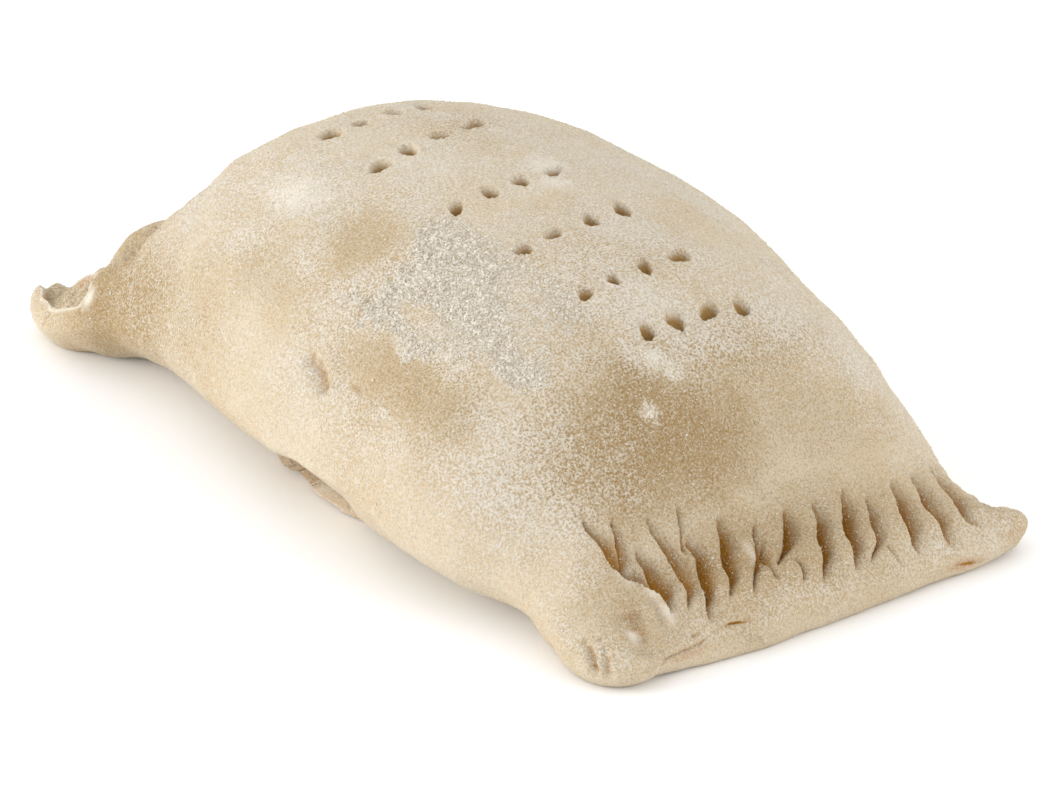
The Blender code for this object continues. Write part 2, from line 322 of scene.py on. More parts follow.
def pressCreases(points, normals):
    # returns the crimped points and how deep in a crease each one lies
    x, y = points[:, 0], points[:, 1]
    sunk = np.zeros(len(points))
    raised = np.zeros(len(points))
    leaned = np.zeros(len(points))
    tucked = np.zeros(len(points))
    for one in allCreases:
        depth = one["depth"]
        t, path = creaseLine(x, one["line"])
        aside = y - path
        along = ramp(t, -0.05, 0.28) * (1 - ramp(t, 0.66, 1.05))
        wall = ramp(aside, -crimp["wall"], 0.1)
        reach = crimp["wider"] * one["width"] * (0.4 + 0.6 * ramp(t, 0, 0.4))
        reach = reach * (1 - crimp["footNarrow"] * ramp(t, 0.55, 1.0))
        soft = 1 - ramp(aside, -0.15 * reach, reach)
        soft = np.where(aside < 0, 1, soft)
        sunk = np.maximum(sunk, crimp["deeper"] * depth * along * wall * soft)
        back = np.exp(-(((aside + 0.3 + one["spread"]) / one["spread"]) ** 2))
        back = np.where(aside > -0.3 - one["spread"], np.maximum(back, ramp(-aside, -0.1, 1.2)), back)
        raised = np.maximum(raised, one["back"] * along * back)
        edge = np.exp(-(((aside + crimp["wall"]) / 1.0) ** 2))
        leaned = np.maximum(leaned, crimp["lap"] * along * edge * depth / crimp["fullLap"])
        hollow = ramp(aside, -0.2, 0.3) * (1 - ramp(aside, 0.4, 2.2))
        tucked = np.maximum(tucked, crimp["undercut"] * along * hollow * depth / crimp["fullLap"])
    topSide = ramp(points[:, 2], 3.2, 5.5) * (1 - 0.9 * ramp(points[:, 0], 89.6, 91.6))
    raised = raised * (1 - np.clip(sunk / 1.5, 0, 1))
    points = points + normals * ((raised - sunk) * topSide)[:, None]
    points[:, 1] += (leaned - tucked) * topSide
    return points, sunk * topSide


# rounded lumps of gathered dough: middle and half sizes
lumps = (
    ((82.0, -38.6, 4.2), (10.4, 8.8, 6.0)),  # folded corner, front left
    ((72.5, -37.0, 6.0), (9.0, 8.4, 7.0)),
    ((-80.0, -40.5, 5.6), (10.2, 7.6, 6.2)),  # tail at the far left corner
    ((-71.0, -37.5, 8.0), (9.5, 7.0, 7.5)),
    ((-67.0, -29.0, 14.0), (10.0, 10.0, 10.0)),
    ((-79.0, 38.0, 5.0), (11.0, 9.0, 6.6)),  # folded corner, far right
)

# the drawn-out point at the right of the front end
cornerTip = dict(at=(87.0, 43.0, 6.0), shift=(1.2, 0.9, 0.2), reach=11.0)


def swell(points, centre, half, blend=0.12):
    # pushes the dough out to a lump's ball wherever it lies inside it
    arm = (points - np.array(centre)) / np.array(half)
    reach = np.maximum(np.linalg.norm(arm, axis=1), 1e-6)
    wider = 0.5 * (reach + 1 + np.sqrt((reach - 1) ** 2 + blend**2))
    fade = 1 - ramp(reach, 1.0, 1.5)
    return points + arm / reach[:, None] * ((wider - reach) * fade)[:, None] * np.array(half)


def pullTip(points):
    distance = np.linalg.norm(points - np.array(cornerTip["at"]), axis=1)
    share = np.clip(1 - distance / cornerTip["reach"], 0, 1) ** 1.6
    return points + np.array(cornerTip["shift"]) * share[:, None]


# the seam's ragged edge of dough, which sticks out underneath on the left
seamEdge = dict(
    outline=(
        (-20, -37), (-17.6, -40.0), (-13.1, -40.9), (-9.2, -41.6), (-5.8, -41.9), (-2.6, -42.2),
        (0.5, -42.6), (4.5, -42.3), (7.4, -42.6), (10.6, -41.8), (13, -41.4), (16, -38),
    ),
    ragged=0.2,
    thick=1.5,
    root=-27.0,  # where it starts under the parcel
    foot=36.0,  # how far out the parcel stands on the ground there
)

# how far out the left side may reach 3 mm above the ground, so that the seam shows under it: (x, y)
bellyLine = (
    (-45, -60), (-34, -48), (-26, -43), (-19.9, -41.5), (-14.5, -41.6), (-11.3, -40.9), (-5.1, -40.6),
    (0.5, -40.5), (6.4, -40.9), (11, -42.1), (15.5, -43.4), (21.5, -44.4), (28, -46.5), (36, -51),
    (46, -60),
)


def tuckBelly(points):
    # draws the left side in above the seam's edge; higher up it leans out over it
    x, y, z = points.T
    limit = smoothLine(bellyLine, x - 1.6 * (z - 3)) - 1.117 * (z - 3)
    inner = 0.5 * (y + limit + np.sqrt((y - limit) ** 2 + 0.6**2))
    points[:, 1] = y + (inner - y) * (1 - ramp(z, 14, 22)) * ramp(-y, 15, 30)
    return points


def drawSeam(points):
    # draws the underside's edge outwards into a thin ragged tongue that lies on the ground
    x, y, z = points.T.copy()
    torn = np.sin(x * 1.1) * 0.5 + np.sin(x * 2.7 + 1.3) * 0.3 + np.sin(x * 5.3) * 0.2
    edge = smoothLine(seamEdge["outline"], x) + seamEdge["ragged"] * torn
    inside = (x > -20) & (x < 16) & (z < seamEdge["thick"]) & (y < seamEdge["root"])
    share = np.clip((seamEdge["root"] - y) / (seamEdge["root"] + seamEdge["foot"]), 0, 1)
    wanted = seamEdge["root"] + (edge - seamEdge["root"]) * share
    points[:, 1] = np.where(inside, np.minimum(y, wanted), y)
    return points


def alongLine(points, line):
    # the distance from each point to a bent line, and how far along it the nearest place is, 0 to 1
    line = np.array(line, float)
    steps = np.diff(line, axis=0)
    lengths = np.linalg.norm(steps, axis=1)
    reached = np.concatenate([[0], np.cumsum(lengths)]) / lengths.sum()
    nearest = np.full(len(points), np.inf)
    share = np.zeros(len(points))
    for n, step in enumerate(steps):
        t = np.clip((points - line[n]) @ step / lengths[n] ** 2, 0, 1)
        away = np.linalg.norm(points - line[n] - t[:, None] * step, axis=1)
        share = np.where(away < nearest, reached[n] + (reached[n + 1] - reached[n]) * t, share)
        nearest = np.minimum(nearest, away)
    return nearest, share


def mark(depth, width, *line, paintedShade=0.0):
    # one pressed line, or a raised one where the depth is negative, and how dark the painted shade along it
    # is
    return dict(line=line, depth=depth, width=width, paintedShade=paintedShade)


# lines (x, y, z) pressed into the dough or raised on it
marks = (
    # folded corner, front left
    mark(-1.3, 1.6, (79.6, -33.2, 11.0), (82.9, -33.0, 10.0), (85.8, -34.0, 9.1), (89.1, -36.2, 7.4),
         (90.5, -36.9, 5.9), (92.0, -38.0, 3.6)),
    mark(1.3, 3.0, (82.6, -36.0, 10.0), (85.4, -36.8, 9.0), (87.4, -37.4, 8.2), (88.9, -38.2, 7.0),
         (90.4, -39.0, 5.0), paintedShade=0.22),
    mark(1.0, 1.5, (82.0, -45.0, 7.6), (85.1, -45.6, 6.7), (86.5, -46.6, 5.8), (87.3, -46.4, 3.5),
         paintedShade=0.3),
    mark(0.9, 1.4, (84.0, -43.0, 8.2), (86.3, -43.6, 7.3), (88.7, -45.2, 5.3), (89.0, -45.0, 3.0),
         paintedShade=0.25),
    mark(0.6, 1.6, (80.0, -38.5, 9.8), (83.5, -38.8, 9.0), (86.9, -38.3, 8.2), paintedShade=0.25),
    mark(-0.8, 1.5, (85.2, -40.2, 8.2), (88.0, -40.7, 7.3), (90.2, -40.9, 4.6)),
    mark(-0.7, 1.0, (87.0, -38.9, 8.0), (88.4, -38.9, 7.6)),
    # collar of ragged dough at the foot of the lap
    mark(-1.1, 1.5, (74.6, -34.6, 14.0), (77.6, -33.2, 12.2), (80.0, -31.2, 11.4), (82.4, -30.4, 10.7),
         (85.0, -30.4, 9.9), (87.4, -31.2, 8.9)),
    # crack and pits along the front lip
    mark(0.5, 0.6, (91.6, -27.6, 5.0), (91.2, -25.5, 5.8), (90.9, -23.2, 6.5), (90.9, -20.3, 6.7),
         (91.3, -17.3, 6.3), (91.4, -14.9, 6.2), paintedShade=0.6),
    mark(0.7, 0.7, (90.5, -28.4, 6.7), (90.5, -27.2, 6.9), (90.5, -26.4, 6.9), paintedShade=1.0),
    mark(0.8, 0.6, (90.5, -22.6, 7.1), (90.5, -22.2, 7.1), paintedShade=0.8),
    mark(0.4, 0.6, (92.0, 25.5, 3.5), (91.9, 29.0, 2.9), (91.3, 34.9, 2.2), paintedShade=0.6),
    mark(0.5, 0.7, (92.0, -36.2, 3.6), (91.6, -34.9, 4.6), (91.6, -33.5, 4.8), (91.6, -29.2, 5.0),
         (91.6, -27.0, 5.1), paintedShade=0.25),
    # hairlines and the dent's edge in the left side
    mark(0.6, 0.7, (7.9, -35.4, 41.2), (7.7, -36.9, 40.1), (8.5, -38.4, 39.2), (9.1, -40.1, 37.7),
         paintedShade=0.35),
    mark(0.6, 0.7, (11.8, -48.6, 28.7), (13.0, -49.0, 28.4), (14.3, -49.1, 28.0), paintedShade=0.5),
    mark(0.6, 0.7, (16.6, -46.7, 30.4), (19.1, -47.1, 30.4), (21.6, -47.5, 30.3), paintedShade=0.4),
    mark(1.6, 2.2, (2.9, -47.1, 30.6), (5.0, -47.2, 30.5), (6.8, -47.2, 30.2), (7.9, -47.2, 29.8),
         (10.4, -48.0, 28.0), (11.6, -48.8, 27.2), paintedShade=0.3),
    mark(-0.6, 1.9, (7.6, -45.6, 32.3), (10.4, -46.2, 31.6), (12.4, -47.4, 29.6), (13.4, -48.6, 27.4)),
    # valley between the tail's shoulder and the dome, and two flatter places
    mark(2.3, 6.0, (-60.0, -22.0, 33.0), (-63.0, -28.9, 29.7), (-64.5, -34.0, 25.0), (-65.5, -38.5, 20.0)),
    mark(1.4, 5.5, (72.0, 41.5, 10.5), (77.0, 42.1, 8.8), (82.0, 42.8, 7.9), (85.0, 44.5, 7.3)),
    mark(1.1, 7.0, (35.0, 40.2, 32.0), (41.0, 39.2, 30.6)),
    # creases where the tail leaves the body
    mark(0.5, 0.8, (-77.6, -47.6, 8.4), (-78.2, -48.6, 6.4), (-78.6, -49.0, 4.4), paintedShade=0.2),
    mark(0.4, 0.7, (-75.4, -48.2, 8.6), (-75.4, -49.2, 6.6), (-75.0, -49.6, 4.6), paintedShade=0.2),
)


def pressMarks(points, normals):
    # returns the marked points and how dark the painted shade along the marks is
    paintedShade = np.zeros(len(points))
    moved = np.zeros(len(points))
    for one in marks:
        away, share = alongLine(points, one["line"])
        away = away * (1 + 0.25 * np.sin(share * 37) * np.sin(share * 61 + 1))
        profile = (1 - ramp(away, 0, one["width"])) * ramp(share, -0.1, 0.12) * (1 - ramp(share, 0.88, 1.1))
        moved = moved - one["depth"] * profile
        paintedShade = np.maximum(paintedShade, one["paintedShade"] * profile)
    return points + normals * moved[:, None], paintedShade


# the front lip's under layer, set back below the upper one: height of its top edge by y
lipStrip = dict(
    top=((-38, 3.2), (-36.2, 3.6), (-34.9, 4.6), (-33.5, 4.9), (-29.2, 5.1), (-26.3, 5.4),
         (-23.7, 6.1), (-20.3, 6.6), (-15, 6.0)),
    depth=0.45,
)


def setBackLip(points):
    x, y, z = points.T
    under = smoothLine(lipStrip["top"], y) - z
    back = ramp(under, -0.1, 0.35) * (1 - ramp(under, 3.0, 6.0))
    back = back * ramp(y, -37.4, -36.2) * (1 - ramp(y, -21, -14))
    points[:, 0] -= lipStrip["depth"] * back * (x > 86)
    return points


# the tail's sunken cut face: its outline (x, y), and the heights (x, z) of its two long rims
cutFace = dict(
    outline=(
        (-86.2, -42.6), (-84.0, -44.6), (-82.0, -46.4), (-79.5, -46.6), (-77.2, -47.4), (-74.8, -47.2),
        (-72.0, -48.2), (-69.4, -48.6), (-67.6, -48.6), (-68.4, -46.6), (-68.0, -45.0), (-69.8, -43.8),
        (-70.2, -42.4), (-72.4, -41.2), (-73.6, -39.8), (-77.0, -40.2), (-80.0, -40.4), (-83.5, -39.8),
        (-85.4, -40.8),
    ),
    nearRim=((-90, 5.6), (-86, 6.6), (-82, 7.4), (-77.2, 8.8), (-73, 10.7), (-69.2, 12.6), (-67, 14.2)),
    farRim=((-91, 4.9), (-87, 8.0), (-85, 8.1), (-83, 8.6), (-81, 10.4), (-78.3, 12.8), (-76.2, 13.8),
            (-70, 16)),
    nearY=-47.0,  # y of the two rims
    farY=-39.3,
    sunk=0.4,  # how far the face lies below its rim
    rim=0.8,  # how wide the step down to it is
)


def intoPatch(x, y, outline):
    # how far inside an outline a point lies, negative outside it
    corners = np.array(outline, float)
    nearest = np.full(len(x), np.inf)
    inside = np.zeros(len(x), bool)
    for (ax, ay), (bx, by) in zip(corners, np.roll(corners, -1, axis=0)):
        t = np.clip(((x - ax) * (bx - ax) + (y - ay) * (by - ay)) / ((bx - ax) ** 2 + (by - ay) ** 2), 0, 1)
        nearest = np.minimum(nearest, np.hypot(x - ax - t * (bx - ax), y - ay - t * (by - ay)))
        if ay != by:
            crosses = ((ay > y) != (by > y)) & (x < (bx - ax) * (y - ay) / (by - ay) + ax)
            inside ^= crosses
    return np.where(inside, nearest, -nearest)


def cutTail(points):
    # returns the points with the cut face pressed in, how deep in it each one lies, and its light rim
    x, y, z = points.T.copy()
    near, far = smoothLine(cutFace["nearRim"], x), smoothLine(cutFace["farRim"], x)
    across = np.clip((y - cutFace["nearY"]) / (cutFace["farY"] - cutFace["nearY"]), 0, 1)
    face = near + (far - near) * across + 0.2 * np.sin(x * 2.1) + 0.15 * np.sin(x * 1.3 + y * 1.7)
    into = np.minimum(intoPatch(x, y, cutFace["outline"]), z - near + 0.3)
    deep = ramp(into, -0.1, cutFace["rim"]) * (0.35 + 0.65 * ramp(x, -87, -81))
    points[:, 2] = np.where(deep > 0, np.minimum(z, z + (face - cutFace["sunk"] - z) * deep), z)
    # past the far rim the tail falls away
    past = y - cutFace["farY"]
    level = x + 1.35 * past
    limit = np.maximum(smoothLine(cutFace["farRim"], level) - 0.9 * past, 0.8)
    fallen = 0.5 * (z + limit - np.sqrt((z - limit) ** 2 + 0.2**2))
    share = (1 - ramp(level, -77, -73)) * (x < -66) * ramp(z, 1, 2)
    points[:, 2] += (np.minimum(fallen, points[:, 2]) - points[:, 2]) * share
    rim = 0.6 * np.exp(-(((into + 0.1) / 0.35) ** 2)) * (z > 6)
    return points, deep, rim


# rows of four pricks: x of its ends, the four y, and how wide each one is beside the radius below
prickRows = (
    (-41.5, -41.5, (-9.4, -2.9, 4.3, 11.0), (1.3, 1.25, 1.25, 1.15)),
    (-22.3, -24.6, (-12.2, -5.7, 2.0, 10.3), (1.35, 1.2, 1.2, 1.35)),
    (1.7, 1.7, (-13.0, -5.6, 1.0, 8.1), (0.95, 1.15, 1.1, 1.15)),
    (21.6, 19.2, (-12.9, -5.8, 2.8, 10.1), (1.05, 1.0, 1.15, 1.1)),
    (38.2, 37.0, (-12.0, -5.8, 1.3, 9.2), (0.85, 0.8, 0.95, 1.3)),
    (49.2, 49.2, (-7.0, -0.9, 6.2, 13.4), (0.95, 1.15, 1.1, 1.0)),
)
prick = dict(
    radius=1.5,
    depth=3.6,
    rim=0.3,  # how far the dough stands up round a hole
    dent=0.4,  # and how far it gives way further out
    lean=(0.42, -0.3),  # how far a hole runs along x and y for each millimetre of depth
    above=25.0,  # only what lies higher than this is pricked
    fineWithin=2.9,  # the squares are scored finer this far round each one
    seed=7,
)


def layPricks():
    # each prick: its place, radius, depth, stretch along x, turn and two numbers for its outline
    draw = np.random.default_rng(prick["seed"])
    pricks = []
    for start, end, ys, sizes in prickRows:
        for n, y in enumerate(ys):
            x = start + (end - start) * n / 3
            radius = prick["radius"] * sizes[n]
            depth = prick["depth"] * draw.uniform(0.75, 1.1)
            stretch, turn = draw.uniform(1.2, 1.6), draw.uniform(-0.8, -0.45)
            pricks.append((x, y, radius, depth, stretch, turn, *draw.uniform(0, 6.28, 2)))
    return pricks


allPricks = layPricks()


def pressPricks(points):
    # returns the pricked points and how deep in a hole each one lies
    x, y, z = points.T.copy()
    sunk = np.zeros(len(points))
    topSide = z > prick["above"]
    for atX, atY, radius, depth, stretch, turn, phase, phase2 in allPricks:
        dx = (x - atX) * math.cos(turn) + (y - atY) * math.sin(turn)
        dy = (y - atY) * math.cos(turn) - (x - atX) * math.sin(turn)
        angle = np.arctan2(dy, dx / stretch)
        uneven = 1 + 0.14 * np.sin(2 * angle + phase) + 0.09 * np.sin(3 * angle + phase2)
        uneven = uneven + 0.05 * np.sin(9 * angle)
        away = np.hypot(dx / stretch, dy) / radius * uneven
        hole = (1 - ramp(away, 0.22, 1.05)) * depth
        rim = prick["rim"] * (ramp(away, 0.85, 1.15) - ramp(away, 1.15, 1.9))
        around = prick["dent"] * (1 - ramp(away, 0.6, 2.8))
        points[:, 2] += np.where(topSide, rim - hole - around, 0)
        points[:, :2] += np.outer(hole * topSide, prick["lean"])
        sunk = np.maximum(sunk, hole * topSide)
    return points, sunk


def scoreFiner(thing, where, cuts):
    # cuts the squares finer wherever their place in the rolled parcel says so
    centres = np.empty(len(thing.data.polygons) * 3)
    thing.data.polygons.foreach_get("center", centres)
    places = rolled(centres.reshape(-1, 3)[:, :2] / mm)
    chosen = where(*places.T)
    thing.data.edges.foreach_set("select", np.zeros(len(thing.data.edges), bool))
    thing.data.vertices.foreach_set("select", np.zeros(len(thing.data.vertices), bool))
    thing.data.polygons.foreach_set("select", chosen)
    editMode(thing)
    bpy.ops.mesh.subdivide(number_cuts=cuts)
    bpy.ops.object.mode_set(mode="OBJECT")


def nearPricks(x, y, z):
    close = np.zeros(len(x), bool)
    for one in allPricks:
        close |= np.hypot(x - one[0], y - one[1]) < prick["fineWithin"]
    return close & (z > prick["above"])


def layOutSheet():
    first, last = sheetEnds()
    length = last - first
    girth = 2 * (sheet["upperHalf"] + sheet["underHalf"])
    bpy.ops.mesh.primitive_grid_add(
        x_subdivisions=round(length / sheet["cell"]),
        y_subdivisions=2 * round(girth / sheet["cell"] / 2),
        size=1,
    )
    dough = bpy.context.object
    dough.name = "dough"
    dough.data.name = "dough"
    bpy.context.tool_settings.mesh_select_mode = (False, False, True)
    editMode(dough)
    bpy.ops.mesh.select_all(action="SELECT")
    bpy.ops.transform.resize(value=(length * mm, girth * mm, 1))
    bpy.ops.transform.translate(value=((first + last) / 2 * mm, 0, 0))
    bpy.ops.object.mode_set(mode="OBJECT")
    return dough


# where the squares are scored finer, by their place in the rolled parcel
def finerFront(x, y, z):
    return (x > 64) & (z > 0.2)


def finestFront(x, y, z):
    pleats = (x > 67) & (x < 91.5) & (z > 6) & (y > -40) & (y < 42)
    corner = (x > 78) & (y < -26) & (y > -48) & (z > 2)
    nose = (x > 90.3) & (z > 1) & (y < 40)
    return pleats | corner | nose


def finerFar(x, y, z):
    return (x < -64) & (z > 0.2)


def finestTail(x, y, z):
    return (x < -65) & (y < -34) & (z > 5)


def finerFlour(x, y, z):
    return (x > -2) & (x < 54) & (y > -42) & (y < -14) & (z > 20)


def finerSeam(x, y, z):
    return (x > -27) & (x < 21) & (y < -24) & (z < 3)


def choosePoints(dough, chosen):
    # selects these points and nothing else
    dough.data.polygons.foreach_set("select", np.zeros(len(dough.data.polygons), bool))
    dough.data.edges.foreach_set("select", np.zeros(len(dough.data.edges), bool))
    dough.data.vertices.foreach_set("select", chosen)


def closeLips(dough):
    # fills the narrow slit that is left at each end
    editMode(dough)
    bpy.ops.mesh.select_all(action="SELECT")
    bpy.ops.mesh.fill_holes(sides=0)
    bpy.ops.mesh.select_all(action="DESELECT")
    bpy.ops.object.mode_set(mode="OBJECT")
    corners = np.empty(len(dough.data.polygons), int)
    dough.data.polygons.foreach_get("loop_total", corners)
    dough.data.polygons.foreach_set("select", corners > 4)
    bpy.context.tool_settings.mesh_select_mode = (False, False, True)
    editMode(dough)
    bpy.ops.mesh.quads_convert_to_tris(quad_method="BEAUTY", ngon_method="BEAUTY")
    bpy.ops.object.mode_set(mode="OBJECT")
    bpy.context.tool_settings.mesh_select_mode = (True, False, False)


def rollUp(dough):
    # rolls the sheet up, and joins its long edges underneath and its two ends
    flat = np.empty(len(dough.data.vertices) * 3)
    dough.data.vertices.foreach_get("co", flat)
    writePoints(dough, rolled(flat.reshape(-1, 3)[:, :2] / mm))
    bpy.context.tool_settings.mesh_select_mode = (True, False, False)
    around = flat.reshape(-1, 3)[:, 1] / mm
    choosePoints(dough, np.abs(around) > sheet["upperHalf"] + sheet["underHalf"] - 0.01)
    editMode(dough)
    bpy.ops.mesh.remove_doubles(threshold=0.01 * mm)
    bpy.ops.object.mode_set(mode="OBJECT")
    x = readPoints(dough)[:, 0]
    first, last = parcel["backHeight"][0][0], parcel["backHeight"][-1][0]
    choosePoints(dough, (np.abs(x - first) < 0.005) | (np.abs(x - last) < 0.005))
    editMode(dough)
    bpy.ops.mesh.remove_doubles(threshold=0.4 * mm)
    bpy.ops.object.mode_set(mode="OBJECT")
    closeLips(dough)
    editMode(dough)
    bpy.ops.mesh.select_all(action="SELECT")
    bpy.ops.mesh.normals_make_consistent(inside=False)
    bpy.ops.object.mode_set(mode="OBJECT")


# the dough's lumps: how far across they are, and how high
lumpiness = dict(
    slackDough=(26, 2.4),
    fingerMarks=(9, 0.6),
    craggyDough=(2.6, 1.8),
    cakedFlour=(2.4, 1.4),
)


def addLumps(dough, name, group=""):
    # a displacement by soft noise, applied
    size, height = lumpiness[name]
    texture = bpy.data.textures.new(name, "CLOUDS")
    texture.noise_scale = size * mm
    texture.noise_depth = 2
    bumps = dough.modifiers.new(name, "DISPLACE")
    bumps.texture = texture
    bumps.texture_coords = "LOCAL"
    bumps.strength = height * mm
    bumps.mid_level = 0.5
    bumps.vertex_group = group
    applyModifier(dough, bumps)


def addGroup(thing, name, values):
    # a vertex group in steps of a tenth
    group = thing.vertex_groups.new(name=name)
    steps = np.round(values * 10).astype(int)
    for step in range(1, 11):
        group.add(np.flatnonzero(steps == step).tolist(), step / 10, "REPLACE")


def keepMask(thing, name, values):
    # a value for each point, 0 to 1, which the material reads
    layer = thing.data.attributes.new(name, "FLOAT", "POINT")
    layer.data.foreach_set("value", np.clip(values, 0, 1).astype(np.float32))


def relax(dough, chosen, times):
    # rounds the chosen part of the dough, as soft dough does by itself
    choosePoints(dough, chosen)
    editMode(dough)
    bpy.ops.mesh.vertices_smooth(factor=0.5, repeat=times)
    bpy.ops.object.mode_set(mode="OBJECT")


fullDepth = 4.0  # the mask of a crease or a prick this deep is 1


def makeDough():
    dough = layOutSheet()
    for where in (finerFront, finestFront, nearPricks, finerFar, finestTail, finerFlour, finerSeam):
        cuts = 3 if where is nearPricks else 1  # small holes need small squares
        scoreFiner(dough, where, cuts)
    print("scored sheet:", len(dough.data.polygons), "faces")
    rollUp(dough)
    points = readPoints(dough)
    for centre, half in lumps:
        points = swell(points, centre, half)
    writePoints(dough, tuckBelly(pullTip(points)))
    addLumps(dough, "slackDough")
    addLumps(dough, "fingerMarks")
    writePoints(dough, drawSeam(readPoints(dough)))
    print("crimping")
    points, creased = pressCreases(readPoints(dough), readNormals(dough))
    writePoints(dough, points)
    x, y, z = readPoints(dough).T
    relax(dough, (x > 64) & (x < 90) & (z > 5), 3)
    relax(dough, (np.abs(x) > 87) & (z > 1.8) & (z < 7), 9)
    points, markShade = pressMarks(readPoints(dough), readNormals(dough))
    writePoints(dough, points)
    writePoints(dough, setBackLip(readPoints(dough)))
    points, cut, rim = cutTail(readPoints(dough))
    writePoints(dough, points)
    x, y, z = points.T
    relax(dough, (x < -68) & (y < -33) & (z > 4), 3)
    addGroup(dough, "craggy", spots(readPoints(dough), craggy))
    addLumps(dough, "craggyDough", "craggy")
    points, pricked = pressPricks(readPoints(dough))
    points[:, 2] = np.maximum(points[:, 2], 0)
    writePoints(dough, points)
    print("flour on the dough")
    places, normals = readPoints(dough), readNormals(dough)
    flour, caked = flourThickness(places, normals)
    # painted shade: the crease mask darkens the colour with a crease's depth and along the marks, the prick
    # mask with a hole's depth
    keepMask(dough, "crease", np.maximum(creased / fullDepth, markShade))
    keepMask(dough, "prick", pricked / fullDepth)
    keepMask(dough, "flour", np.maximum(flour * (1 - 0.7 * cut), 0.3 * cut))
    keepMask(dough, "edge", np.maximum(rim, spots(places, floury)))
    # the tan mask is partly the dough's own tan and partly painted shade on sides turned from the key light
    keepMask(dough, "tanAndShade", spots(places, tanAndShadeSpots))
    # the orange mask is partly the dough's own orange and partly painted shade in hollows, cracks and under
    # the belly
    keepMask(dough, "orange", spots(places, orangeAndShadeSpots))
    keepMask(dough, "caked", caked)
    addGroup(dough, "caked", caked)
    addLumps(dough, "cakedFlour", "caked")
    bpy.ops.object.shade_smooth()
    print("dough:", len(dough.data.vertices), "points,", len(dough.data.polygons), "faces")
    return dough


# the thickest flour, its sharp side on the left: outline (x, y)
thickFlour = (
    (-1.5, -19.1), (1.0, -16.1), (4.7, -14.0), (10.4, -12.9), (16.0, -14.2), (19.9, -12.3), (27.8, -13.0),
    (34.1, -13.1), (38.2, -13.3), (42.8, -12.9), (45.3, -14.6), (46.7, -18.3), (45.6, -23.2), (48.7, -25.3),
    (49.1, -28.9), (47.7, -33.5), (44.6, -34.9), (41.6, -34.8), (35.3, -36.2), (30.9, -37.8), (27.8, -40.0),
    (22.8, -40.9), (20.3, -38.6), (15.3, -39.8), (9.7, -40.5), (8.5, -38.4), (2.8, -37.7), (1.0, -36.9),
    (7.2, -36.0), (7.9, -33.1), (6.0, -29.9), (6.6, -26.2), (1.0, -22.8),
)

# thinner places in it: x, y, how far along x, how far along y, how much thinner
thinPatches = (
    (22.0, -34.5, 7.0, 2.4, 0.6),
    (38.0, -24.0, 7.0, 5.0, 0.35),
    (30.0, -20.0, 7.0, 4.0, 0.3),
    (45.0, -22.0, 6.0, 7.0, 0.4),
    (36.0, -34.0, 8.0, 3.0, 0.3),
)

# where else flour lies: x, y, how far along x, how far along y, how thick
flourPatches = (
    (24, -9, 9, 6, 0.6),
    (34, -7, 8, 7, 0.65),
    (42, -5, 9, 6, 0.75),
    (49, 1, 6, 5, 0.7),
    (52, -12, 6, 3.5, 0.65),
    (54.4, -8.6, 3.0, 2.0, 0.9),
    (57, -7.2, 2.4, 2.2, 0.85),
    (60.5, -14.9, 1.6, 1.4, 0.8),
    (55, -36, 6, 2.2, 0.6),
    (31, -50, 8, 1.2, 0.5),
    (-1.5, 8, 4.5, 4.5, 0.95),
    (6, 5.5, 4, 3, 0.8),
    (-5, -6, 8, 5, 0.55),
    (-26, -25, 9, 5, 1.0),
    (-25, 22, 30, 10, 0.6),
    (-31, -27, 7, 6, 0.6),
    (-42, -27, 10, 7, 0.5),
    (-54, -28, 8, 8, 0.5),
    (-45, 6, 12, 12, 0.5),
    (13, 36, 24, 9, 0.5),
    (57, -32, 6, 6, 0.4),
    (26.7, -47.6, 3, 1.2, 0.7),
    (8, -44.4, 4, 1.2, 0.5),
    (-20, 40, 16, 9, 0.7),
    (40, 34, 12, 8, 0.5),
    (47, 17, 8, 5, 0.5),
)

# bare places: x, y, how far along x, how far along y, how bare
barePatches = (
    (-5, -28, 10, 8, 0.8),
    (28, -43, 20, 5.0, 0.8),
    (-18, -42, 20, 6, 0.5),
    (61, -16, 11, 18, 0.5),
    (66, 10, 9, 22, 0.7),
    (-27, 15, 9, 5, 0.35),
    (-26, 4, 10, 6, 0.25),
    (10, 2, 5, 8, 0.2),
    (30, 20, 20, 7, 0.3),
    (73, -28, 5, 6, 0.8),
    (85, -37, 8, 9, 0.7),
    (-70, -38, 12, 13, 0.75),
    (80, 3, 13, 46, 0.85),
)
flourHaze = 0.52  # how thick the dusting is everywhere else

# pale places; tanned ones, partly the dough's own tan and partly painted shade on the front end,
# the knob and the tail's neck and left side; orange ones, partly painted shade in hollows, cracks and
# under the belly; and craggy ones: middle, how far each way, how strong
floury = (
    ((76.7, -32.9, 12.6), (3.2, 2.0, 3), 0.9),
    ((81.1, -30.2, 11.0), (3.4, 1.8, 3), 1.0),
    ((85.6, -30.4, 9.6), (2.4, 1.6, 3), 0.7),
    ((87.3, -38.9, 7.9), (1.8, 1.6, 2), 0.8),
    ((-66.9, -46.5, 15.0), (1.4, 2.4, 3), 0.9),
    ((-1.0, -43.6, 0.8), (17, 1.8, 1.5), 0.6),
    ((82.0, -8.8, 13.0), (3.0, 1.2, 4), 0.5),
    ((77.0, -17.5, 17.0), (3.0, 1.2, 4), 0.4),
    ((-29.0, -25.0, 42.0), (9.0, 5.5, 6.0), 0.55),
    ((-1.5, 8.0, 50.0), (4.5, 4.5, 3.0), 0.5),
    ((6.0, 5.5, 50.0), (4.0, 3.0, 3.0), 0.4),
    ((44.0, -4.0, 44.0), (10.0, 9.0, 6.0), 0.16),
    ((53.5, -10.0, 38.0), (4.0, 2.4, 3.0), 0.45),
    ((57.0, -7.4, 36.0), (2.4, 2.2, 3.0), 0.5),
    ((60.5, -14.9, 33.0), (1.6, 1.4, 2.0), 0.5),
    ((24.0, -40.0, 39.0), (6.0, 1.6, 3.0), 0.3),
)
